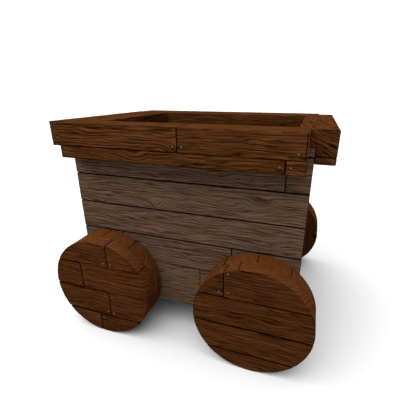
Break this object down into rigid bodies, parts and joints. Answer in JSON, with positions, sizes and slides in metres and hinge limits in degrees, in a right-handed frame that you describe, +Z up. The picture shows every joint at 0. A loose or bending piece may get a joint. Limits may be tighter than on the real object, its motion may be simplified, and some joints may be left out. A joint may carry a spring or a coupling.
{
  "type": "mine cart",
  "caption": "Open plank tub with a heavy board rim, on two turning axles with solid plank wheels set close against its sides.",
  "frame": {"origin": "on the ground under the centre of the tub", "axes": "+X the way the cart rolls, +Y to its left side, +Z up"},
  "size_m": [1.216, 1.072, 0.998],
  "materials": {
    "wall_planks": "weathered sawn boards",
    "rim_boards": "oiled sawn boards",
    "wheel_planks": "oiled sawn boards",
    "frame_timber": "rough sawn timber",
    "nail_iron": "dull dark nail heads",
    "cast_iron": "rough sand cast",
    "forged_iron": "dull forged bar",
    "bronze": "dull machined"
  },
  "bodies": {
    "tub": {"right_wall_planks": "wall_planks", "left_wall_planks": "wall_planks", "front_wall_planks": "wall_planks", "rear_wall_planks": "wall_planks", "corner_post_front_right": "frame_timber", "corner_post_front_left": "frame_timber", "corner_post_rear_right": "frame_timber", "corner_post_rear_left": "frame_timber", "side_studs": "frame_timber", "end_studs": "frame_timber", "floor_planks": "frame_timber", "right_sill": "frame_timber", "left_sill": "frame_timber", "centre_sill": "frame_timber", "front_headstock": "frame_timber", "rear_headstock": "frame_timber", "right_rim_board": "rim_boards", "left_rim_board": "rim_boards", "front_rim_board": "rim_boards", "rear_rim_board": "rim_boards", "right_rim_strip": "rim_boards", "left_rim_strip": "rim_boards", "front_rim_strip": "rim_boards", "rear_rim_strip": "rim_boards", "pedestal_front_right": "cast_iron", "pedestal_front_left": "cast_iron", "pedestal_rear_right": "cast_iron", "pedestal_rear_left": "cast_iron", "keep_front_right": "cast_iron", "keep_front_left": "cast_iron", "keep_rear_right": "cast_iron", "keep_rear_left": "cast_iron", "bush_front_right": "bronze", "bush_front_left": "bronze", "bush_rear_right": "bronze", "bush_rear_left": "bronze", "axle_box_bolts": "forged_iron", "axle_box_nuts": "forged_iron", "wall_nails": "nail_iron", "rim_nails": "nail_iron", "floor_nails": "nail_iron"},
    "front_wheelset": {"front_axle": "forged_iron", "hub_front_right": "cast_iron", "hub_front_left": "cast_iron", "wheel_front_right_outer": "wheel_planks", "wheel_front_right_inner": "wheel_planks", "wheel_front_left_outer": "wheel_planks", "wheel_front_left_inner": "wheel_planks", "front_hub_screws": "forged_iron", "front_wheel_nails": "nail_iron"},
    "rear_wheelset": {"rear_axle": "forged_iron", "hub_rear_right": "cast_iron", "hub_rear_left": "cast_iron", "wheel_rear_right_outer": "wheel_planks", "wheel_rear_right_inner": "wheel_planks", "wheel_rear_left_outer": "wheel_planks", "wheel_rear_left_inner": "wheel_planks", "rear_hub_screws": "forged_iron", "rear_wheel_nails": "nail_iron"}
  },
  "joints": [
    {"name": "front_axle_spin", "type": "hinge", "parent": "tub", "child": "front_wheelset", "pos_m": [0.36, 0, 0.248], "axis": [0, 1, 0], "continuous": true},
    {"name": "rear_axle_spin", "type": "hinge", "parent": "tub", "child": "rear_wheelset", "pos_m": [-0.36, 0, 0.248], "axis": [0, 1, 0], "continuous": true}
  ]
}
